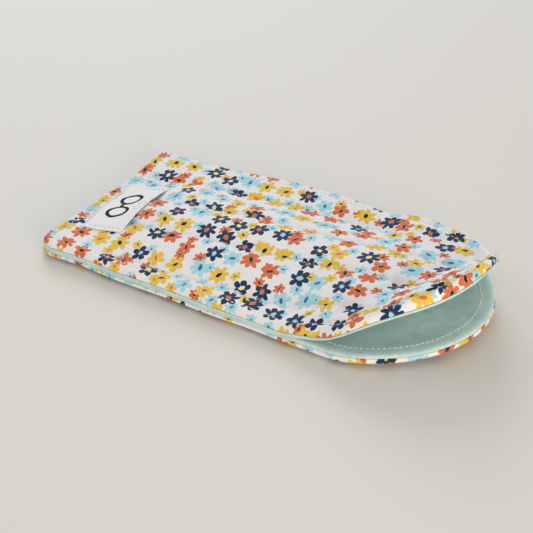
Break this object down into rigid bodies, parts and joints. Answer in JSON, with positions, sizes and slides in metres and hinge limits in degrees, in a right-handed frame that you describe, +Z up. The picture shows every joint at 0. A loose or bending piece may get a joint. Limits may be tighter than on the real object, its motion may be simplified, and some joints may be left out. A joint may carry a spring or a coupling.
{
  "type": "soft glasses case",
  "caption": "Soft slip-in glasses case of quilted printed cotton with a plain lining, a half-round open mouth, two springy lips and a sewn-on label.",
  "frame": {"origin": "on the table under the middle of the case", "axes": "+X out of the mouth along the length, +Y towards the far side, +Z up"},
  "size_m": [0.18, 0.088, 0.0331],
  "materials": {
    "printed_cotton": "matt woven cotton with a small flower print",
    "lining_cotton": "matt plain weave",
    "wadding": "soft non-woven fibre",
    "woven_label": "matt white tape",
    "sewing_thread": "matt spun thread"
  },
  "bodies": {
    "pouch": {"front_outer": "printed_cotton", "front_wadding": "wadding", "front_lining": "lining_cotton", "back_outer": "printed_cotton", "back_wadding": "wadding", "back_lining": "lining_cotton", "closing_seam_thread": "sewing_thread", "label": "woven_label", "label_stitching_near": "sewing_thread", "label_stitching_far": "sewing_thread", "front_quilting_thread_1": "sewing_thread", "front_quilting_thread_2": "sewing_thread", "front_quilting_thread_3": "sewing_thread", "front_quilting_thread_4": "sewing_thread"},
    "front_lip": {"front_lip_outer": "printed_cotton", "front_lip_wadding": "wadding", "front_lip_lining": "lining_cotton", "front_lip_topstitch": "sewing_thread", "front_lip_quilting_thread_1": "sewing_thread", "front_lip_quilting_thread_2": "sewing_thread", "front_lip_quilting_thread_3": "sewing_thread", "front_lip_quilting_thread_4": "sewing_thread"},
    "back_lip": {"back_lip_outer": "printed_cotton", "back_lip_wadding": "wadding", "back_lip_lining": "lining_cotton", "back_lip_topstitch": "sewing_thread"}
  },
  "joints": [
    {"name": "front_lip_bend", "type": "hinge", "parent": "pouch", "child": "front_lip", "pos_m": [0.042, 0, 0.01955], "axis": [0, -1, 0], "range_deg": [-3, 35], "stiffness_Nm_per_rad": 0.06},
    {"name": "back_lip_bend", "type": "hinge", "parent": "pouch", "child": "back_lip", "pos_m": [0.042, 0, 0.0018], "axis": [0, -1, 0], "range_deg": [-3, 3], "stiffness_Nm_per_rad": 0.06}
  ]
}
